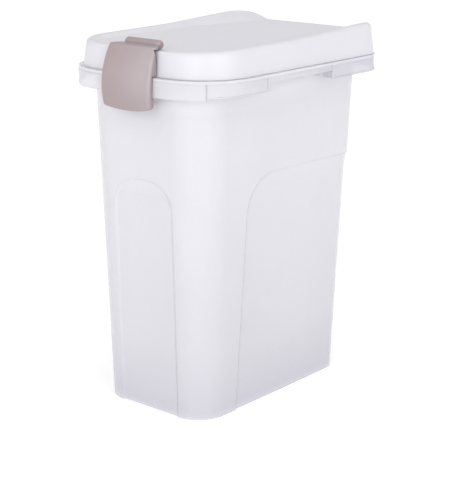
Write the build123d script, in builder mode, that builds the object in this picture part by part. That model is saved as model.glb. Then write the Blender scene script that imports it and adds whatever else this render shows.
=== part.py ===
from build123d import *
import math
import os

# A free-standing food bin: a drafted, moulded tub with a deep turned-down rim,
# a lid that hinges at the back, and a swing-over clip that holds it shut.
# Millimetres. The origin is the middle of the overall footprint, on the floor.
# +Z is up and the clip is on the -Y side.

# ---- Tub wall, given at the floor; every wall leans outwards ----
TUB_LEAN = 0.0293  # outward lean of the walls, per mm of height
TUB_MIDDLE_Y = -6.6
TUB_HALF_WIDTH = 75.3
TUB_HALF_LENGTH = 125.4
TUB_FRONT_RADIUS = 35.0
TUB_FRONT_RADIUS_GROWTH = 0.018  # per mm of height
TUB_REAR_RADIUS = 24.0
TUB_REAR_RADIUS_GROWTH = -0.018
TUB_FRONT_BOW = 0.6
TUB_SIDE_BOW = 1.6
TUB_WALL = 2.2
TUB_FLOOR = 2.6

# ---- Sunk panels in the lower tub; the two front corners stay proud as pillars ----
SINK = 2.4
PANEL_TOP = 261.0
LEDGE_LOW = 246.0
LEDGE_HIGH = 266.0
LEDGE_STEP = 0.4  # the ledge stops this far inside the pillar surface
PANEL_EDGE_RUN = 1.7  # mm across per mm of depth at a panel's edge
FRONT_PANEL_HALF_WIDTH = 42.0
FRONT_PANEL_RADIUS = 32.0
SIDE_PANEL_START_Y = -74.6
SIDE_PANEL_LEAN = 0.048
SIDE_PANEL_RADIUS = 42.0
PILLAR_DEPTH = 132.0  # behind this distance from the front wall nothing stands proud

# ---- Rim: flange and turned-down skirt ----
RIM_TOP = 375.0
RIM_HALF_WIDTH = 109.7
RIM_FRONT = -155.2
RIM_REAR = 154.2
RIM_FRONT_RADIUS = 62.0
RIM_REAR_RADIUS = 41.0
RIM_FRONT_BOW = 2.4
RIM_SIDE_BOW = 0.3
FLANGE_THICKNESS = 2.4
FLANGE_EDGE = 3.1
FLANGE_REACH = 31.0  # from the rim's edge inwards, past the mouth of the tub
SKIRT_FOOT = 357.2
SKIRT_WALL = 2.0
SKIRT_STEP = 0.6  # the skirt stands this far inside the flange edge and foot lip
LIP_HEIGHT = 1.5
FRONT_BAND_FOOT = 355.2
FRONT_BAND_PROUD = 0.5
FRONT_BAND_END_Y = -140.0
GRIP_FRONT = -60.0
GRIP_REAR = 47.0
GRIP_TOP = 366.0
GRIP_RADIUS = 1.5
GRIP_BEAD_WIDTH = 5.0
GRIP_BEAD_INSET = 0.1
RIB_THICKNESS = 2.0
RIB_SETBACK = 1.0  # the ribs stop this far short of the skirt's foot and the rim's top

# ---- Lid ----
LID_FOOT = 375.25
LID_HALF_WIDTH = 106.2
LID_FRONT = -148.7
LID_REAR = 152.9
LID_FRONT_RADIUS = 57.0
LID_REAR_RADIUS = 34.0
LID_LEAN = 0.14  # inward lean of the skirt, per mm of height
LID_WALL = 2.2
LID_EDGE_RADIUS = 5.0
LID_PEAK = 409.2
LID_CREST = [(-160, 401.2), (-100, 403.4), (20, 405.0), (80, 407.8)]  # (Y, Z) before the peak
LID_TAIL = [(142, 408.0), (162, 401.0)]  # and behind it
LID_PEAK_Y = 118
LID_PANEL = 399.5
PANEL_FRONT = -143.1
PANEL_RIGHT_SIDE = [(84.0, PANEL_FRONT), (85.0, 40.0), (75.0, 87.0), (64.0, 124.0), (62.0, 173.0)]
PANEL_SIDE_SLOPES = [1.5, 1.5, 2.15, 2.8, 2.8]  # mm across per mm of rise, at each of those points
PANEL_FRONT_SLOPE = 1.5
PANEL_CORNER_RADIUS = 42.0
PLUG_FOOT = 369.0
PLUG_WALL = 2.0
PLUG_GAP = 1.0
SEAL_FOOT = 375.3
SEAL_HEIGHT = 3.0
SEAL_WIDTH = 4.8
SEAL_RIB = 2.0

# ---- Lid hinge ----
HINGE_Y = 160.0
HINGE_Z = 377.0
KNUCKLE_RADIUS = 5.0
HINGE_PIN_RADIUS = 2.0
HINGE_CENTRES = (-42.0, 42.0)
LID_KNUCKLE_HALF = 7.0
TUB_LUG_WIDTH = 6.0
SIDE_GAP = 0.4
HINGE_HEAD_RADIUS = 3.6
HINGE_HEAD_THICKNESS = 1.5
KNUCKLE_FOOT = 376.0
KNUCKLE_SHOULDER = 2.5  # how far the knuckle climbs from its eye to the lid's skirt

# ---- Clip ----
CLIP_Y = -133.0  # swing axis
CLIP_Z = 405.0
CLIP_FRONT = -165.0
CLIP_BELLY_Z = 358.0
CLIP_CURVE = 0.0056
CLIP_HALF_WIDTH = 35.0
CLIP_WAIST_Z = 370.0
CLIP_NARROWING = 0.0018
CLIP_FOOT = 339.0
CLIP_WALL = 2.4
CLIP_BOW = 1.0
CLIP_CORNER = 4.0
CLIP_SECTIONS = [336.0, 352.0, 370.0, 388.0, 406.0]  # heights of the plans that shape it
CLIP_FACE_OVERHANG = 1.0  # the face's outline stands this far outside the clip's widest plan
CLIP_FACE_LEAN = 2.0
CLIP_FOOT_BOW = 3.5
CLIP_FOOT_RADIUS = 9.0
CLIP_TOP_RADIUS = 4.0
CLIP_BROW_RADIUS = 6.0
CLIP_BROW_DROP = 14.0
HOOK_TOP = 353.2
HOOK_THICKNESS = 3.4
HOOK_REACH_Y = -156.4
CLIP_BEHIND_RIM_Y = -158.9
CLIP_BEHIND_LID_Y = -152.2
CLIP_RIM_CLEAR_Z = 376.3
CLIP_TOP_UNDERSIDE = 402.6
BAR_RADIUS = 5.0
BAR_HALF_WIDTH = 25.2
BAR_END_FLAT = 0.8  # radius of the flat left on the bar's rounded ends
PLATE_CUT_START = 24.2  # where the top plate's rear corners begin to be cut away
PLATE_CUT_FRONT_Y = -137.0
PLATE_CUT_SIDE_Y = -150.2
LATCH_PIN_RADIUS = 1.6
LUG_X = 13.0
LUG_WIDTH = 5.0
LUG_HEAD_RADIUS = 3.0
LUG_STEM_HALF = 2.2
SLOT_CLEARANCE = 0.4
SLOT_REAR = 1.5  # from this far behind the swing axis the slots run right through the bar
SLOT_CUT = 20.0
SLOT_ALIGN = (Align.CENTER, Align.MIN, Align.MAX)
LATCH_PIN_HALF = 22.0
RUNNING_CLEARANCE = 0.08

FAR = 200.0  # longer than anything that it cuts
OVERCUT = 1.0  # how far a cutting tool passes the face that it opens


def rounded_plan(height, half_width, front, rear, front_radius, rear_radius, front_bow, side_bow):
    """A flat plan at one height: rounded corners, and sides that bow out between them."""
    middle = (front + rear) / 2
    belly = half_width + side_bow
    with BuildSketch(Plane.XY.offset(height)) as plan:
        with BuildLine():
            ThreePointArc((-half_width, front), (0, front - front_bow), (half_width, front))
            ThreePointArc((half_width, front), (belly, middle), (half_width, rear))
            ThreePointArc((half_width, rear), (0, rear + side_bow), (-half_width, rear))
            ThreePointArc((-half_width, rear), (-belly, middle), (-half_width, front))
        make_face()
        fillet(plan.vertices().group_by(Axis.Y)[0], radius=front_radius)
        fillet(plan.vertices().group_by(Axis.Y)[-1], radius=rear_radius)
    return plan.sketch


def tub_plan(height, inset):
    """Plan of the tub wall's pillar surface, moved inwards by inset."""
    growth = TUB_LEAN * height - inset
    return rounded_plan(
        height,
        TUB_HALF_WIDTH + growth,
        TUB_MIDDLE_Y - TUB_HALF_LENGTH - growth,
        TUB_MIDDLE_Y + TUB_HALF_LENGTH + growth,
        TUB_FRONT_RADIUS + TUB_FRONT_RADIUS_GROWTH * height - inset,
        TUB_REAR_RADIUS + TUB_REAR_RADIUS_GROWTH * height - inset,
        TUB_FRONT_BOW,
        TUB_SIDE_BOW,
    )


def panel_growth(distance, inset):
    """How much wider a panel's outline is, this far out from its sunk face."""
    corner_share = math.sqrt(1 + PANEL_EDGE_RUN**2) - PANEL_EDGE_RUN
    return (distance - SINK) * PANEL_EDGE_RUN + corner_share * inset


def front_panel_outline(distance, inset):
    """Arch of the front panel, on a plane parallel to the leaning front wall."""
    growth = panel_growth(distance, inset)
    sunk_face_y = TUB_MIDDLE_Y - TUB_HALF_LENGTH + SINK + inset
    wall = Plane(origin=(0, sunk_face_y, 0), x_dir=(1, 0, 0), z_dir=(0, -1, -TUB_LEAN))
    half_width = FRONT_PANEL_HALF_WIDTH + growth
    top = PANEL_TOP + growth
    with BuildSketch(wall.offset(distance)) as outline:
        with Locations((0, top)):
            Rectangle(2 * half_width, top + FAR, align=(Align.CENTER, Align.MAX))
        fillet(outline.vertices().group_by(Axis.Y)[-1], radius=FRONT_PANEL_RADIUS + growth)
    return outline.sketch


def side_panel_outline(distance, inset):
    """Outline of the side panel: arched at its front edge, open at the rear."""
    growth = panel_growth(distance, inset)
    sunk_face_x = TUB_HALF_WIDTH - SINK - inset
    wall = Plane(origin=(sunk_face_x, 0, 0), x_dir=(0, 1, 0), z_dir=(1, 0, -TUB_LEAN))
    top = PANEL_TOP + growth
    foot_y = SIDE_PANEL_START_Y - growth - SIDE_PANEL_LEAN * FAR
    top_y = SIDE_PANEL_START_Y - growth + SIDE_PANEL_LEAN * top
    with BuildSketch(wall.offset(distance)) as outline:
        with BuildLine():
            Polyline((foot_y, -FAR), (top_y, top), (FAR, top), (FAR, -FAR), close=True)
        make_face()
        arch_corner = outline.vertices().group_by(Axis.Y)[-1].sort_by(Axis.X)[0]
        fillet(arch_corner, radius=SIDE_PANEL_RADIUS + growth)
    return outline.sketch


def pillars(inset):
    """The two proud front corners and the whole upper wall, as one solid."""
    inward = -2 * SINK
    outward = 4 * SINK
    rear_start = TUB_MIDDLE_Y - TUB_HALF_LENGTH + PILLAR_DEPTH
    with BuildPart() as solid:
        loft([tub_plan(0, inset), tub_plan(RIM_TOP, inset)], ruled=True)
        front_arches = [front_panel_outline(inward, inset), front_panel_outline(outward, inset)]
        loft(front_arches, ruled=True, mode=Mode.SUBTRACT)
        side_arches = [side_panel_outline(inward, inset), side_panel_outline(outward, inset)]
        with BuildPart(mode=Mode.PRIVATE) as side_cut:
            loft(side_arches, ruled=True)
            mirror(about=Plane.YZ)
        add(side_cut.part, mode=Mode.SUBTRACT)
        with Locations((0, rear_start, PANEL_TOP)):
            Box(FAR, FAR * 2, FAR * 2, align=(Align.CENTER, Align.MIN, Align.MAX), mode=Mode.SUBTRACT)
    return solid.part


def tub_form(inset):
    """The tub's whole envelope with its sunk panels, moved inwards by inset."""
    with BuildPart() as form:
        add(pillars(inset))
        loft([tub_plan(0, SINK + inset), tub_plan(LEDGE_LOW, SINK + inset)], ruled=True)
        loft([tub_plan(LEDGE_LOW, SINK + inset), tub_plan(LEDGE_HIGH, LEDGE_STEP + inset)], ruled=True)
    return form.part


def tub_mouth_block(low, high, inset):
    """A straight-sided block with the plan of the tub's mouth, moved inwards by inset."""
    with BuildPart() as block:
        extrude(tub_plan(RIM_TOP, inset).moved(Location((0, 0, low - RIM_TOP))), amount=high - low)
    return block.part


def rim_plan(height, inset):
    """Plan of the rim, moved inwards by inset."""
    return rounded_plan(
        height,
        RIM_HALF_WIDTH - inset,
        RIM_FRONT + inset,
        RIM_REAR - inset,
        RIM_FRONT_RADIUS - inset,
        RIM_REAR_RADIUS - inset,
        RIM_FRONT_BOW,
        RIM_SIDE_BOW,
    )


def rim_ring(low, high, outer_inset, inner_inset):
    """A band that follows the rim's plan."""
    with BuildPart() as ring:
        extrude(rim_plan(low, outer_inset), amount=high - low)
        extrude(rim_plan(low, inner_inset), amount=high - low, mode=Mode.SUBTRACT)
    return ring.part


def tub_lug_outline(left):
    """Side view of a hinge lug on the rear rim: an eye with a gusset below it."""
    slant = KNUCKLE_RADIUS * math.sqrt(0.5)
    root_y = RIM_REAR - SKIRT_STEP - SKIRT_WALL / 2
    eye_low = (HINGE_Y + slant, HINGE_Z - slant)
    gusset_foot = HINGE_Z - slant - (HINGE_Y + slant - root_y)
    shoulder = RIM_TOP - SKIRT_STEP
    with BuildSketch(Plane.YZ.offset(left)) as outline:
        with BuildLine():
            Polyline((root_y, shoulder), (HINGE_Y, shoulder), eye_low, (root_y, gusset_foot), close=True)
        make_face()
        with Locations((HINGE_Y, HINGE_Z)):
            Circle(KNUCKLE_RADIUS)
            Circle(HINGE_PIN_RADIUS, mode=Mode.SUBTRACT)
    return outline.sketch


def lid_plan(height, inset):
    """Plan of the lid's leaning skirt, moved inwards by inset."""
    total = inset + LID_LEAN * (height - LID_FOOT)
    return rounded_plan(
        height,
        LID_HALF_WIDTH - total,
        LID_FRONT + total,
        LID_REAR - total,
        LID_FRONT_RADIUS - total,
        LID_REAR_RADIUS - total,
        RIM_FRONT_BOW,
        RIM_SIDE_BOW,
    )


def lid_top_line(drop):
    """Side view under the lid's raised edge, which climbs towards the back."""
    top = [*LID_CREST, (LID_PEAK_Y, LID_PEAK), *LID_TAIL]
    with BuildSketch(Plane.YZ.offset(-FAR)) as outline:
        with BuildLine():
            line = Spline(*[(y, z - drop) for y, z in top])
            Polyline(line @ 1, (FAR, LID_FOOT - OVERCUT), (-FAR, LID_FOOT - OVERCUT), line @ 0)
        make_face()
    return outline.sketch


def lid_panel_outline(rise, inset):
    """Plan of the sunk top panel; its sides slope gently near the raised rear corners."""
    spread = PANEL_FRONT_SLOPE * rise + inset
    right_side = [
        (x + slope * rise + inset, y)
        for (x, y), slope in zip(PANEL_RIGHT_SIDE, PANEL_SIDE_SLOPES)
    ]
    right_side[0] = (right_side[0][0], right_side[0][1] - spread)
    left_side = [(-x, y) for x, y in reversed(right_side)]
    with BuildSketch(Plane.XY.offset(LID_PANEL + rise)) as outline:
        with BuildLine():
            Polyline(*right_side, *left_side, close=True)
        make_face()
        fillet(outline.vertices().group_by(Axis.Y)[0], radius=PANEL_CORNER_RADIUS + spread)
    return outline.sketch


def lid_form(inset):
    """The lid's envelope, moved inwards by inset."""
    above_lid = LID_PEAK + 2 * OVERCUT
    rise = above_lid - LID_PANEL
    with BuildPart() as form:
        loft([lid_plan(LID_FOOT, inset), lid_plan(above_lid, inset)], ruled=True)
        extrude(lid_top_line(inset), amount=2 * FAR, mode=Mode.INTERSECT)
        fillet(form.faces().sort_by(Axis.Z)[-1].edges(), radius=LID_EDGE_RADIUS - inset)
        panel_cut = [lid_panel_outline(-inset, inset), lid_panel_outline(rise, inset)]
        loft(panel_cut, ruled=True, mode=Mode.SUBTRACT)
    return form.part


def lid_knuckle_outline(left):
    """Side view of a hinge knuckle on the lid's rear skirt."""
    root_y = LID_REAR - 0.7 * LID_WALL
    high = HINGE_Z + KNUCKLE_RADIUS
    with BuildSketch(Plane.YZ.offset(left)) as outline:
        with BuildLine():
            Polyline((root_y, KNUCKLE_FOOT), (HINGE_Y, KNUCKLE_FOOT), (HINGE_Y, high),
                     (root_y, high + KNUCKLE_SHOULDER), close=True)
        make_face()
        with Locations((HINGE_Y, HINGE_Z)):
            Circle(KNUCKLE_RADIUS)
            Circle(HINGE_PIN_RADIUS + RUNNING_CLEARANCE, mode=Mode.SUBTRACT)
    return outline.sketch


def clip_lug_outline(left):
    """Side view of a lug that stands on the lid and carries the clip's pin."""
    panel_depth = CLIP_Z - LID_PANEL + LID_WALL / 2
    with BuildSketch(Plane.YZ.offset(left)) as outline:
        with Locations((CLIP_Y, CLIP_Z)):
            Circle(LUG_HEAD_RADIUS)
            Rectangle(2 * LUG_STEM_HALF, panel_depth, align=(Align.CENTER, Align.MAX))
            Circle(LATCH_PIN_RADIUS, mode=Mode.SUBTRACT)
    return outline.sketch


def clip_front_y(height):
    """The clip's bulging front face, on the middle plane."""
    return CLIP_FRONT + CLIP_CURVE * (height - CLIP_BELLY_Z) ** 2


def clip_plan(height, inset):
    """Plan of the clip at one height: a bowed front with rounded corners, open to the rear."""
    half_width = CLIP_HALF_WIDTH - CLIP_NARROWING * (height - CLIP_WAIST_Z) ** 2 - inset
    front = clip_front_y(height) + inset
    corner = front + CLIP_BOW
    with BuildSketch(Plane.XY.offset(height)) as plan:
        with BuildLine():
            ThreePointArc((-half_width, corner), (0, front), (half_width, corner))
            Polyline((half_width, corner), (half_width, CLIP_Y), (-half_width, CLIP_Y),
                     (-half_width, corner))
        make_face()
        fillet(plan.vertices().group_by(Axis.Y)[0], radius=CLIP_CORNER - inset)
    return plan.sketch


def clip_face_outline(inset):
    """Front view of the clip: rounded corners above, a bowed and rounded foot below."""
    side = CLIP_HALF_WIDTH + CLIP_FACE_OVERHANG - inset
    top_side = side - CLIP_FACE_LEAN
    top = CLIP_Z - inset
    foot_corner = CLIP_FOOT + CLIP_FOOT_BOW + inset
    with BuildSketch(Plane.XZ.offset(-FAR)) as outline:
        with BuildLine():
            ThreePointArc((-side, foot_corner), (0, CLIP_FOOT + inset), (side, foot_corner))
            Polyline((side, foot_corner), (top_side, top), (-top_side, top), (-side, foot_corner))
        make_face()
        fillet(outline.vertices().group_by(Axis.Y)[0], radius=CLIP_FOOT_RADIUS - inset)
        fillet(outline.vertices().group_by(Axis.Y)[-1], radius=CLIP_TOP_RADIUS - inset / 2)
    return outline.sketch


def clip_side_outline(inset):
    """Side view that rounds the clip's upper front edge."""
    top = CLIP_Z - inset
    front_top = clip_front_y(CLIP_Z) + inset
    below_foot = CLIP_SECTIONS[0] - OVERCUT
    with BuildSketch(Plane.YZ.offset(-FAR)) as outline:
        with BuildLine():
            Polyline((front_top, top), (CLIP_Y, top), (CLIP_Y, below_foot), (-FAR, below_foot),
                     (-FAR, top - CLIP_BROW_DROP), close=True)
        make_face()
        corner = outline.vertices().group_by(Axis.Y)[-1].sort_by(Axis.X)[0]
        fillet(corner, radius=CLIP_BROW_RADIUS - inset)
    return outline.sketch


def top_plate_corner(side):
    """Plan of what is cut from a rear corner of the top plate, so it narrows to the bar."""
    inner = side * PLATE_CUT_START
    outer = side * (CLIP_HALF_WIDTH + OVERCUT)
    rear = CLIP_Y + FAR
    with BuildSketch(Plane.XY.offset(CLIP_RIM_CLEAR_Z)) as outline:
        with BuildLine():
            Polyline((inner, PLATE_CUT_FRONT_Y), (outer, PLATE_CUT_SIDE_Y), (outer, rear), (inner, rear),
                     close=True)
        make_face()
    return outline.sketch


def clip_form(inset):
    """The clip's envelope, moved inwards by inset."""
    with BuildPart() as form:
        loft([clip_plan(height, inset) for height in CLIP_SECTIONS])
        extrude(clip_face_outline(inset), amount=2 * FAR, mode=Mode.INTERSECT)
        extrude(clip_side_outline(inset), amount=2 * FAR, mode=Mode.INTERSECT)
    return form.part


def slab(y_low, y_high, z_low, z_high, half_width=FAR):
    """A block across the middle plane, used for cutting and trimming."""
    block = Box(2 * half_width, y_high - y_low, z_high - z_low, mode=Mode.PRIVATE)
    return Pos(0, (y_low + y_high) / 2, (z_low + z_high) / 2) * block


def rod(x_low, x_high, y, z, radius):
    """A cylinder that lies across the bin, along X."""
    cylinder = Cylinder(radius, x_high - x_low, rotation=(0, 90, 0), mode=Mode.PRIVATE)
    return Pos((x_low + x_high) / 2, y, z) * cylinder


# ---- Rim: flange, skirt, front band, grips and ribs, joined into the tub below ----
grip_depth = GRIP_TOP - SKIRT_FOOT + OVERCUT

with BuildPart() as rim:
    add(rim_ring(RIM_TOP - FLANGE_THICKNESS, RIM_TOP, SKIRT_STEP, FLANGE_REACH))
    add(rim_ring(RIM_TOP - FLANGE_EDGE, RIM_TOP, 0, SKIRT_WALL))
    add(rim_ring(SKIRT_FOOT, RIM_TOP, SKIRT_STEP, SKIRT_WALL))
    add(rim_ring(SKIRT_FOOT, SKIRT_FOOT + LIP_HEIGHT, 0, SKIRT_WALL))
    with BuildSketch(Plane.YZ) as grip_outline:
        with Locations(((GRIP_FRONT + GRIP_REAR) / 2, GRIP_TOP)):
            Rectangle(GRIP_REAR - GRIP_FRONT, grip_depth, align=(Align.CENTER, Align.MAX))
        fillet(grip_outline.vertices().group_by(Axis.Y)[-1], radius=GRIP_RADIUS)
    extrude(grip_outline.sketch, amount=FAR, both=True, mode=Mode.SUBTRACT)

with BuildPart() as grip_beads:
    add(rim_ring(SKIRT_FOOT, RIM_TOP - FLANGE_THICKNESS / 2, GRIP_BEAD_INSET, SKIRT_WALL - SKIRT_STEP))
    add(slab(GRIP_FRONT - GRIP_BEAD_WIDTH, GRIP_REAR + GRIP_BEAD_WIDTH, 0, 2 * FAR), mode=Mode.INTERSECT)
    add(slab(GRIP_FRONT, GRIP_REAR, 0, 2 * FAR), mode=Mode.SUBTRACT)

with BuildPart() as front_band:
    add(rim_ring(FRONT_BAND_FOOT, RIM_TOP - FLANGE_EDGE, -FRONT_BAND_PROUD, SKIRT_WALL))
    add(slab(-FAR, FRONT_BAND_END_Y, 0, 2 * FAR), mode=Mode.INTERSECT)

# ---- Tub ----
with BuildPart() as cavity:
    add(tub_form(TUB_WALL))
    add(slab(-FAR, FAR, 0, TUB_FLOOR), mode=Mode.SUBTRACT)

with BuildPart() as tub:
    add(tub_form(0))
    add(rim.part)
    add(front_band.part)
    add(grip_beads.part)
    rib_reach = RIM_HALF_WIDTH - SKIRT_WALL
    for rib_y in (GRIP_FRONT - RIB_THICKNESS, GRIP_REAR):
        add(slab(rib_y, rib_y + RIB_THICKNESS, SKIRT_FOOT + RIB_SETBACK, RIM_TOP - RIB_SETBACK, rib_reach))
    knuckle_space = LID_KNUCKLE_HALF + SIDE_GAP
    for centre in HINGE_CENTRES:
        for lug_x in (centre - knuckle_space - TUB_LUG_WIDTH, centre + knuckle_space):
            extrude(tub_lug_outline(lug_x), amount=TUB_LUG_WIDTH)
    add(cavity.part, mode=Mode.SUBTRACT)
tub.part.label = "tub"

# ---- Lid: shell, plug ring with the seal's rib, hinge knuckles and clip lugs ----
plug_inset = TUB_WALL + PLUG_GAP
seal_top = SEAL_FOOT + SEAL_HEIGHT

with BuildPart() as lid_underside_limit:
    add(lid_form(0).moved(Location((0, 0, -LID_WALL / 2))))
    add(slab(-FAR, FAR, PLUG_FOOT, LID_FOOT + LID_WALL))

with BuildPart() as plug:
    add(tub_mouth_block(PLUG_FOOT, LID_PEAK, plug_inset))
    add(tub_mouth_block(seal_top, seal_top + SEAL_RIB, plug_inset - SEAL_WIDTH))
    add(tub_mouth_block(PLUG_FOOT, LID_PEAK, plug_inset + PLUG_WALL), mode=Mode.SUBTRACT)
    add(lid_underside_limit.part, mode=Mode.INTERSECT)

with BuildPart() as lid:
    add(lid_form(0))
    add(lid_form(LID_WALL), mode=Mode.SUBTRACT)
    add(plug.part)
    for centre in HINGE_CENTRES:
        extrude(lid_knuckle_outline(centre - LID_KNUCKLE_HALF), amount=2 * LID_KNUCKLE_HALF)
    for centre in (-LUG_X, LUG_X):
        extrude(clip_lug_outline(centre - LUG_WIDTH / 2), amount=LUG_WIDTH)
lid.part.label = "lid"

# ---- Seal: a soft ring round the plug, under its rib ----
with BuildPart() as lid_seal:
    add(tub_mouth_block(SEAL_FOOT, seal_top, plug_inset - SEAL_WIDTH))
    add(tub_mouth_block(SEAL_FOOT, seal_top, plug_inset), mode=Mode.SUBTRACT)
lid_seal.part.label = "lid_seal"

# ---- Clip: hollow shell, hook under the rim, and the slotted swing bar ----
with BuildPart() as clip_hollow:
    add(clip_form(CLIP_WALL))
    add(clip_form(CLIP_WALL).moved(Location((0, 0, -2 * CLIP_WALL))))
    add(slab(-FAR, FAR, HOOK_TOP - HOOK_THICKNESS, HOOK_TOP), mode=Mode.SUBTRACT)

with BuildPart() as swing_bar:
    add(rod(-BAR_HALF_WIDTH, BAR_HALF_WIDTH, CLIP_Y, CLIP_Z, BAR_RADIUS))
    fillet(swing_bar.edges().filter_by(GeomType.CIRCLE), radius=BAR_RADIUS - BAR_END_FLAT)

with BuildPart() as latch_clip:
    add(clip_form(0))
    add(clip_hollow.part, mode=Mode.SUBTRACT)
    add(slab(CLIP_BEHIND_LID_Y, FAR, CLIP_RIM_CLEAR_Z, CLIP_TOP_UNDERSIDE), mode=Mode.SUBTRACT)
    add(slab(CLIP_BEHIND_RIM_Y, FAR, HOOK_TOP, CLIP_RIM_CLEAR_Z), mode=Mode.SUBTRACT)
    add(slab(HOOK_REACH_Y, FAR, 0, HOOK_TOP), mode=Mode.SUBTRACT)
    for side in (-1, 1):
        extrude(top_plate_corner(side), amount=FAR, mode=Mode.SUBTRACT)
    add(swing_bar.part)
    slot_width = LUG_WIDTH + 2 * SLOT_CLEARANCE
    slot_reach = LUG_HEAD_RADIUS + SLOT_CLEARANCE
    for centre in (-LUG_X, LUG_X):
        with Locations((centre, CLIP_Y - slot_reach, CLIP_Z + slot_reach)):
            Box(slot_width, SLOT_CUT, SLOT_CUT, align=SLOT_ALIGN, mode=Mode.SUBTRACT)
        with Locations((centre, CLIP_Y + SLOT_REAR, CLIP_Z + SLOT_CUT / 2)):
            Box(slot_width, SLOT_CUT, SLOT_CUT, align=SLOT_ALIGN, mode=Mode.SUBTRACT)
    bore_radius = LATCH_PIN_RADIUS + RUNNING_CLEARANCE
    add(rod(-FAR, LATCH_PIN_HALF + SIDE_GAP, CLIP_Y, CLIP_Z, bore_radius), mode=Mode.SUBTRACT)
latch_clip.part.label = "latch_clip"

with BuildPart() as latch_pin:
    add(rod(-LATCH_PIN_HALF, LATCH_PIN_HALF, CLIP_Y, CLIP_Z, LATCH_PIN_RADIUS))
latch_pin.part.label = "latch_pin"


def hinge_pin(centre):
    """A headed pin through one lid hinge, with its head on the outer side."""
    reach = LID_KNUCKLE_HALF + SIDE_GAP + TUB_LUG_WIDTH
    outer = math.copysign(reach, centre)
    head_ends = sorted((centre + outer, centre + outer + math.copysign(HINGE_HEAD_THICKNESS, centre)))
    with BuildPart() as pin:
        add(rod(centre - reach, centre + reach, HINGE_Y, HINGE_Z, HINGE_PIN_RADIUS))
        add(rod(head_ends[0], head_ends[1], HINGE_Y, HINGE_Z, HINGE_HEAD_RADIUS))
    return pin.part


with BuildPart() as hinge_pin_left:
    add(hinge_pin(HINGE_CENTRES[0]))
hinge_pin_left.part.label = "hinge_pin_left"

with BuildPart() as hinge_pin_right:
    add(hinge_pin(HINGE_CENTRES[1]))
hinge_pin_right.part.label = "hinge_pin_right"

os.makedirs("parts", exist_ok=True)
export_step(tub.part, "parts/tub.step")
export_step(lid.part, "parts/lid.step")
export_step(lid_seal.part, "parts/lid_seal.step")
export_step(latch_clip.part, "parts/latch_clip.step")
export_step(latch_pin.part, "parts/latch_pin.step")
export_step(hinge_pin_left.part, "parts/hinge_pin_left.step")
export_step(hinge_pin_right.part, "parts/hinge_pin_right.step")
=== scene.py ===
"""Looks of a pet food bin with a hinged lid and a swinging front clip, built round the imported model."""

import math

import bpy
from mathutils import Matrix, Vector

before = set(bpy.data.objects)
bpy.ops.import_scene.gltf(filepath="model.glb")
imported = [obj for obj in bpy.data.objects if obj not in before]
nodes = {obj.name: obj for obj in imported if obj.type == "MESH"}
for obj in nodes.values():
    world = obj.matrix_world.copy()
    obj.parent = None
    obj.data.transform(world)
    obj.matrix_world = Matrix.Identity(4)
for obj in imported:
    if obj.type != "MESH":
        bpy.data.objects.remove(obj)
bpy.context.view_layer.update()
scene = bpy.context.scene

# Camera: where the photograph was taken from, and what it looks at.
CAMERA_AZIMUTH = 40.4  # degrees round from the front
CAMERA_ELEVATION = 16.0
CAMERA_DISTANCE = 1.623
CAMERA_TARGET = Vector((0.0017, -0.0030, 0.1546))
CAMERA_LENS = 101.8
CAMERA_REACH = 100.0  # far enough for the floor's corners

# Studio.
WHITE = (1.0, 1.0, 1.0, 1.0)
FLOOR_HALF = 60.0
FLOOR_LIGHT = (0.95, 0.95, 0.95, 1.0)
FLOOR_DARK = (0.94, 0.94, 0.94, 1.0)
FLOOR_ROUGHNESS = 0.9
FLOOR_GLOW = 0.19
SKY_LOW = 0.72  # brightness of the surroundings at the horizon and below
SKY_HIGH = 1.04  # and straight above
SKY_RISE = (0.1, 0.9)  # Z of the direction, on a unit sphere, between those two
SKY_LEFT = 0.82  # what is left of that brightness far to the left
SKY_TURN = (-0.9, -0.1)  # X of the direction, from far left to where nothing is lost
SOFTBOX_SIZE = 1.8
SOFTBOX_AIM = Vector((0, 0, 0.2))
KEY_PLACE = Vector((0.7, -3.0, 1.2))
KEY_POWER = 22.0
SIDE_PLACE = Vector((3.0, -1.0, 1.2))
SIDE_POWER = 19.0

# Plastic colours, linear.
TUB_CLEAR = (0.845, 0.838, 0.880, 1.0)
TUB_MILKY = (0.725, 0.716, 0.765, 1.0)
TUB_FOOT = (0.672, 0.661, 0.726, 1.0)
# Darker tone for the panels' steps: painted shade, partly the plastic looking denser there.
TUB_STEP_DENSE_AND_SHADE = (0.640, 0.630, 0.690, 1.0)
# Painted light on the wall just under the rim, lifting the shade that falls there.
TUB_UNDER_RIM_LIGHT = (0.900, 0.892, 0.935, 1.0)
# Painted shade on the rim's skirt, for the dark hollow behind it; darker still to the rear.
TUB_RIM_SHADE = (0.742, 0.733, 0.782, 1.0)
TUB_RIM_REAR_SHADE = (0.670, 0.655, 0.720, 1.0)
# Painted light on the flange, lifting the shade in the corner under the lid.
TUB_FLANGE_LIGHT = (0.900, 0.890, 0.945, 1.0)
LID_WHITE = (0.700, 0.695, 0.738, 1.0)
LID_SHADE = (0.676, 0.671, 0.714, 1.0)
PANEL_GREY = (0.690, 0.684, 0.729, 1.0)
CLIP_PALE = (0.440, 0.386, 0.404, 1.0)
# Painted shade for the clip's left side; the face is paler to the right.
CLIP_LEFT_SHADE = (0.392, 0.312, 0.318, 1.0)
# Darker tone for the random mottle, and painted shade on the edges, foot, top and right side.
CLIP_DEEP_MOTTLE_AND_SHADE = (0.290, 0.222, 0.228, 1.0)
SEAL_GREY = (0.68, 0.68, 0.69, 1.0)
SEAL_DARK = (0.56, 0.56, 0.575, 1.0)
PIN_WHITE = (0.82, 0.82, 0.83, 1.0)
PIN_CREAM = (0.76, 0.75, 0.75, 1.0)

# Where each tone begins and where it is full, in metres: heights, unless an axis is named.
DENSE_FADE = (0.30, 0.0)
FOOT_FADE = (0.075, 0.0)
# Where the painted light under the rim begins and is full.
UNDER_RIM_LIGHT_FADE = (0.335, 0.352)
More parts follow.
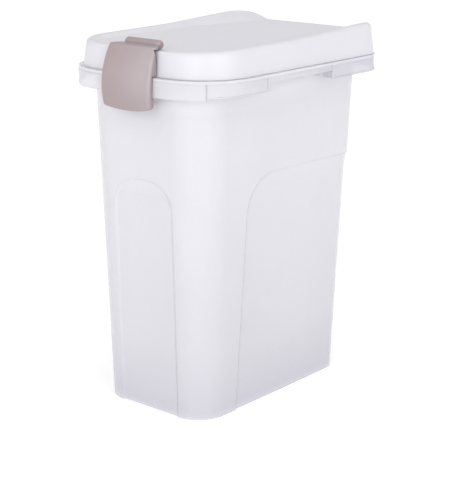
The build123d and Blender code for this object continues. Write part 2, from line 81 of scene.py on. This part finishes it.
# Where the painted shade on the rim begins and, along Y, where it darkens to the rear.
RIM_SHADE_FADE = (0.3545, 0.3550)  # just below the rim's lowest edge
RIM_REAR_SHADE_FADE = (-0.13, 0.10)  # along Y
# Where the painted light on the flange begins and is full.
FLANGE_LIGHT_FADE = (0.3715, 0.3735)
PANEL_FADE = (0.4012, 0.4000)
# Where the painted shade on the clip's left side and at its foot begins and is full.
CLIP_LEFT_SHADE_FADE = (0.024, -0.030)  # along X
CLIP_FOOT_SHADE_FADE = (0.375, 0.345)

# An upright column that passes between the tub's wall and the rim's skirt.
COLUMN_HALF_WIDTH = 0.097
COLUMN_HALF_LENGTH = 0.145
COLUMN_MIDDLE_Y = -0.0066
COLUMN_FADE = (0.97, 1.03)  # of the plan's equation, which gives 1 on the column's surface

# Surfaces: lengths in metres; a roughness goes from the first value to the second.
NOISE_SPAN = (0.3, 0.7)  # where most of a noise lies
TUB_ROUGHNESS = (0.24, 0.28)
LID_ROUGHNESS = (0.30, 0.42)
PANEL_EXTRA_ROUGHNESS = 0.2
CLIP_ROUGHNESS = (0.30, 0.42)
SEAL_ROUGHNESS = (0.62, 0.78)
PIN_ROUGHNESS = (0.26, 0.36)
POLYPROPYLENE_IOR = 1.49
CLIP_IOR = 1.48
TUB_OPACITY = 0.62
TUB_EDGE = 0.0012  # how widely edges are shaded round
LID_EDGE = 0.0010
CLIP_EDGE = 0.0010
# Width of the painted shade along edges, partly denser plastic at the steps.
TUB_SHADED_EDGE = 0.0019  # how widely edges take another tone
# Width of the painted shade along the clip's edges.
CLIP_SHADED_EDGE = 0.0012
BEVEL_SAMPLES = 6
WAVE_DEPTH = 0.002
GRAIN_DEPTH = 0.0002

# The colour sockets of a Mix node share their names with its other sockets, so they go by number.
MIX_AMOUNT = 0
MIX_FIRST = 6
MIX_SECOND = 7
MIX_RESULT = 2


class Graph:
    """A tree of shader nodes under construction."""

    def __init__(self, tree):
        self.tree = tree

    def feed(self, socket, value):
        """Set a socket to a plain value, or link another node's output to it."""
        if isinstance(value, bpy.types.NodeSocket):
            self.tree.links.new(value, socket)
        else:
            socket.default_value = value

    def feed_named(self, node, values):
        """Feed a node's inputs by their names, written with _ for a space."""
        for name, value in values.items():
            self.feed(node.inputs[name.replace("_", " ")], value)

    def add(self, kind, **values):
        node = self.tree.nodes.new("ShaderNode" + kind)
        self.feed_named(node, values)
        return node

    def component(self, vector, axis):
        return self.add("SeparateXYZ", Vector=vector).outputs[axis]

    def spread(self, value, low, high, to_low=0.0, to_high=1.0):
        """The value carried from low..high to to_low..to_high, and held past both ends."""
        node = self.add("MapRange", Value=value,
                        From_Min=low, From_Max=high, To_Min=to_low, To_Max=to_high)
        return node.outputs["Result"]

    def math(self, operation, first, second):
        node = self.add("Math")
        node.operation = operation
        self.feed(node.inputs[0], first)
        self.feed(node.inputs[1], second)
        return node.outputs["Value"]


class Paint(Graph):
    """A material under construction: a graph with one Principled shader."""

    def __init__(self, name):
        self.material = bpy.data.materials.new(name)
        self.material.use_nodes = True
        super().__init__(self.material.node_tree)
        self.shader = self.tree.nodes["Principled BSDF"]
        self.place = self.add("TexCoord").outputs["Object"]

    def shade(self, **values):
        self.feed_named(self.shader, values)

    def noise(self, scale, detail=4.0, roughness=0.5, stretch=(1, 1, 1)):
        mapping = self.add("Mapping", Vector=self.place, Scale=stretch)
        noise = self.add("TexNoise", Vector=mapping.outputs["Vector"],
                         Scale=scale, Detail=detail, Roughness=roughness)
        return noise.outputs["Fac"]

    def mix(self, amount, first, second):
        """The first colour where the amount is 0, and the second where it is 1."""
        node = self.add("Mix")
        node.data_type = "RGBA"
        self.feed(node.inputs[MIX_AMOUNT], amount)
        self.feed(node.inputs[MIX_FIRST], first)
        self.feed(node.inputs[MIX_SECOND], second)
        return node.outputs[MIX_RESULT]

    def along(self, axis):
        """Place on the object along one axis, in metres."""
        return self.component(self.place, axis)

    def height(self):
        return self.along("Z")

    def facing(self, axis):
        """How squarely the surface faces along one of the object's own axes, from -1 to 1."""
        return self.component(self.add("TexCoord").outputs["Normal"], axis)

    def outside_column(self):
        """1 outside the upright column, 0 inside it; its plan is a rounded rectangle."""
        across = self.math("MULTIPLY", self.along("X"), 1 / COLUMN_HALF_WIDTH)
        from_middle = self.math("SUBTRACT", self.along("Y"), COLUMN_MIDDLE_Y)
        lengthways = self.math("MULTIPLY", from_middle, 1 / COLUMN_HALF_LENGTH)
        fourth_powers = []
        for share in (across, lengthways):
            square = self.math("MULTIPLY", share, share)
            fourth_powers.append(self.math("MULTIPLY", square, square))
        return self.spread(self.math("ADD", *fourth_powers), *COLUMN_FADE)

    def soft_edges(self, radius):
        """The surface's normal, which turns gently within a radius of each edge."""
        node = self.add("Bevel", Radius=radius)
        node.samples = BEVEL_SAMPLES
        return node.outputs["Normal"]

    def turn_of_surface(self, radius):
        """How far the surface turns within a radius: 0 where it is flat, more along an edge."""
        compare = self.add("VectorMath")
        compare.operation = "DOT_PRODUCT"
        self.feed(compare.inputs[0], self.add("NewGeometry").outputs["Normal"])
        self.feed(compare.inputs[1], self.soft_edges(radius))
        return self.math("SUBTRACT", 1.0, compare.outputs["Value"])

    def bump(self, height, strength, depth, **under):
        """A normal disturbed by a height field: the surface's, or the one given as Normal."""
        node = self.add("Bump", Height=height, Strength=strength, Distance=depth, **under)
        return node.outputs["Normal"]


def wall_colour(paint):
    """Cloudy in slow swirls, denser low down; darker along edges, partly denser plastic and partly
    painted shade at the steps; painted light just under the rim.
    """
    swirls = paint.noise(scale=9.0, detail=5.0, roughness=0.55, stretch=(1, 1, 0.35))
    cloud = paint.spread(swirls, 0.35, 0.65, to_high=0.25)
    low = paint.spread(paint.height(), *DENSE_FADE, to_high=0.7)
    body = paint.mix(paint.math("ADD", cloud, low), TUB_CLEAR, TUB_MILKY)
    # Painted shade along the panels' steps, partly denser plastic there.
    edges = paint.spread(paint.turn_of_surface(TUB_SHADED_EDGE), 0.0, 0.10, to_high=0.8)
    stepped = paint.mix(edges, body, TUB_STEP_DENSE_AND_SHADE)
    foot = paint.spread(paint.height(), *FOOT_FADE, to_high=0.8)
    # Painted light: the wall is lightened just under the rim, against the shade there.
    under_rim_light = paint.spread(paint.height(), *UNDER_RIM_LIGHT_FADE)
    return paint.mix(under_rim_light, paint.mix(foot, stepped, TUB_FOOT), TUB_UNDER_RIM_LIGHT)


def tub_colour(paint):
    """The wall, then painted shade on the rim's skirt, darker to the rear, then painted light on the
    flange.
    """
    # Painted shade on the rim's skirt, outside the column, darker towards the rear.
    above_wall = paint.spread(paint.height(), *RIM_SHADE_FADE)
    rim_shade_mask = paint.math("MULTIPLY", above_wall, paint.outside_column())
    rim = paint.mix(paint.spread(paint.along("Y"), *RIM_REAR_SHADE_FADE), TUB_RIM_SHADE, TUB_RIM_REAR_SHADE)
    sides = paint.mix(rim_shade_mask, wall_colour(paint), rim)
    # Painted light on the flange, above the shaded gap under the lid.
    return paint.mix(paint.spread(paint.height(), *FLANGE_LIGHT_FADE), sides, TUB_FLANGE_LIGHT)


def tub_plastic():
    """Milky translucent satin moulding."""
    paint = Paint("translucent_tub")
    grain = paint.noise(scale=900.0, detail=3.0)
    waves = paint.noise(scale=22.0, detail=2.0, roughness=0.4, stretch=(1, 1, 0.4))
    wavy = paint.bump(waves, 0.12, WAVE_DEPTH, Normal=paint.soft_edges(TUB_EDGE))
    paint.shade(Base_Color=tub_colour(paint),
                Roughness=paint.spread(grain, *NOISE_SPAN, *TUB_ROUGHNESS),
                Normal=paint.bump(grain, 0.008, GRAIN_DEPTH, Normal=wavy),
                IOR=POLYPROPYLENE_IOR,
                Alpha=TUB_OPACITY)
    return paint.material


def lid_plastic():
    """White satin moulding, rougher on the sunk panel of its top."""
    paint = Paint("white_lid")
    cloud = paint.spread(paint.noise(scale=11.0), *NOISE_SPAN)
    sunk = paint.spread(paint.height(), *PANEL_FADE)
    upward = paint.spread(paint.facing("Z"), 0.90, 0.99)
    on_panel = paint.math("MULTIPLY", sunk, upward)
    grain = paint.noise(scale=2200.0, detail=2.0)
    satin = paint.spread(grain, *NOISE_SPAN, *LID_ROUGHNESS)
    rougher = paint.math("MULTIPLY", on_panel, PANEL_EXTRA_ROUGHNESS)
    waves = paint.noise(scale=18.0, detail=2.0)
    wavy = paint.bump(waves, 0.06, WAVE_DEPTH, Normal=paint.soft_edges(LID_EDGE))
    paint.shade(Base_Color=paint.mix(on_panel, paint.mix(cloud, LID_WHITE, LID_SHADE), PANEL_GREY),
                Roughness=paint.math("ADD", satin, rougher),
                Normal=paint.bump(grain, 0.08, GRAIN_DEPTH, Normal=wavy),
                IOR=POLYPROPYLENE_IOR,
                Subsurface_Weight=0.3,
                Subsurface_Scale=0.003,
                Subsurface_Radius=(1.0, 1.0, 1.0))
    return paint.material


def clip_colour(paint):
    """Taupe and mottled, with painted shade: darker to its left, at its foot, on top, on its right side
    and along its edges.
    """
    swirls = paint.noise(scale=24.0, detail=5.0, roughness=0.6)
    cloud = paint.spread(swirls, *NOISE_SPAN, to_high=0.15)
    speck = paint.spread(paint.noise(scale=2600.0, detail=2.0), 0.35, 0.75, to_high=0.15)
    # Painted shade: darker along edges, at the foot, on upward faces and on the right side.
    edge = paint.spread(paint.turn_of_surface(CLIP_SHADED_EDGE), 0.0, 0.15, to_high=0.45)
    low = paint.spread(paint.height(), *CLIP_FOOT_SHADE_FADE, to_high=0.40)
    upward = paint.spread(paint.facing("Z"), 0.30, 0.95, to_high=0.45)
    side = paint.spread(paint.facing("X"), 0.60, 0.98, to_high=0.75)
    painted_shade = paint.math("ADD", edge, paint.math("MAXIMUM", low, upward))
    mottle_and_painted_shade = paint.math("ADD", paint.math("ADD", cloud, speck), painted_shade)
    # The random mottle together with the painted shade.
    depth = paint.math("MAXIMUM", mottle_and_painted_shade, side)
    # Painted shade towards the clip's left.
    left = paint.spread(paint.along("X"), *CLIP_LEFT_SHADE_FADE)
    return paint.mix(depth, paint.mix(left, CLIP_PALE, CLIP_LEFT_SHADE), CLIP_DEEP_MOTTLE_AND_SHADE)


def clip_plastic():
    """Taupe satin moulding, finely grained."""
    paint = Paint("taupe_clip")
    grain = paint.noise(scale=1900.0, detail=3.0)
    waves = paint.noise(scale=30.0, detail=2.0)
    wavy = paint.bump(waves, 0.06, WAVE_DEPTH, Normal=paint.soft_edges(CLIP_EDGE))
    paint.shade(Base_Color=clip_colour(paint),
                Roughness=paint.spread(grain, *NOISE_SPAN, *CLIP_ROUGHNESS),
                Normal=paint.bump(grain, 0.10, GRAIN_DEPTH, Normal=wavy),
                IOR=CLIP_IOR)
    return paint.material


def seal_rubber():
    """Soft pale elastomer with a dusty surface."""
    paint = Paint("soft_seal")
    dust = paint.spread(paint.noise(scale=60.0, detail=6.0, roughness=0.6), 0.35, 0.7)
    paint.shade(Base_Color=paint.mix(dust, SEAL_GREY, SEAL_DARK),
                Roughness=paint.spread(dust, 0.0, 1.0, *SEAL_ROUGHNESS),
                Normal=paint.bump(paint.noise(scale=900.0, detail=3.0), 0.15, GRAIN_DEPTH))
    return paint.material


def pin_nylon():
    """White nylon rod, faintly drawn along its length."""
    paint = Paint("white_pin")
    drawn = paint.spread(paint.noise(scale=300.0, detail=3.0, stretch=(0.05, 1, 1)), *NOISE_SPAN)
    paint.shade(Base_Color=paint.mix(drawn, PIN_WHITE, PIN_CREAM),
                Roughness=paint.spread(drawn, 0.0, 1.0, *PIN_ROUGHNESS),
                Normal=paint.bump(drawn, 0.05, GRAIN_DEPTH))
    return paint.material


def dress(node, material):
    mesh = nodes[node].data
    mesh.materials.clear()
    mesh.materials.append(material)


def add_camera():
    azimuth = math.radians(CAMERA_AZIMUTH)
    elevation = math.radians(CAMERA_ELEVATION)
    back = Vector((math.sin(azimuth) * math.cos(elevation),
                   -math.cos(azimuth) * math.cos(elevation),
                   math.sin(elevation)))
    data = bpy.data.cameras.new("camera")
    data.lens = CAMERA_LENS
    data.clip_end = CAMERA_REACH
    camera = bpy.data.objects.new("camera", data)
    camera.location = CAMERA_TARGET + CAMERA_DISTANCE * back
    camera.rotation_euler = back.to_track_quat("Z", "Y").to_euler()
    scene.collection.objects.link(camera)
    scene.camera = camera


def add_softbox(name, place, power):
    """A square soft light aimed at the middle of the bin."""
    data = bpy.data.lights.new(name, "AREA")
    data.size = SOFTBOX_SIZE
    data.energy = power
    light = bpy.data.objects.new(name, data)
    light.location = place
    light.rotation_euler = (place - SOFTBOX_AIM).to_track_quat("Z", "Y").to_euler()
    scene.collection.objects.link(light)


def add_world():
    """Even surroundings, brighter overhead and dimmer to the left, with a white backdrop."""
    world = bpy.data.worlds.new("studio")
    world.use_nodes = True
    graph = Graph(world.node_tree)
    direction = graph.add("TexCoord").outputs["Generated"]
    rise = graph.spread(graph.component(direction, "Z"), *SKY_RISE, SKY_LOW, SKY_HIGH)
    left = graph.spread(graph.component(direction, "X"), *SKY_TURN, SKY_LEFT, 1.0)
    surroundings = graph.math("MULTIPLY", rise, left)
    seen = graph.add("LightPath").outputs["Is Camera Ray"]
    background = graph.tree.nodes["Background"]
    graph.feed(background.inputs["Color"], WHITE)
    graph.feed(background.inputs["Strength"], graph.math("MAXIMUM", surroundings, seen))
    scene.world = world


def floor_white():
    """Matt white, hardly speckled, with a faint glow."""
    paint = Paint("floor_white")
    speckle = paint.spread(paint.noise(scale=40.0, detail=3.0), *NOISE_SPAN)
    paint.shade(Base_Color=paint.mix(speckle, FLOOR_LIGHT, FLOOR_DARK),
                Roughness=FLOOR_ROUGHNESS,
                Emission_Color=WHITE,
                Emission_Strength=FLOOR_GLOW)
    return paint.material


def add_floor():
    half = FLOOR_HALF
    corners = [(-half, -half, 0), (half, -half, 0), (half, half, 0), (-half, half, 0)]
    mesh = bpy.data.meshes.new("floor")
    mesh.from_pydata(corners, [], [(0, 1, 2, 3)])
    mesh.materials.append(floor_white())
    floor = bpy.data.objects.new("floor", mesh)
    scene.collection.objects.link(floor)


scene.view_settings.view_transform = "Standard"
add_camera()
add_world()
add_floor()
add_softbox("key", KEY_PLACE, KEY_POWER)
add_softbox("side", SIDE_PLACE, SIDE_POWER)

dress("tub", tub_plastic())
dress("lid", lid_plastic())
dress("lid_seal", seal_rubber())
dress("latch_clip", clip_plastic())
nylon = pin_nylon()
for pin in ("latch_pin", "hinge_pin_left", "hinge_pin_right"):
    dress(pin, nylon)
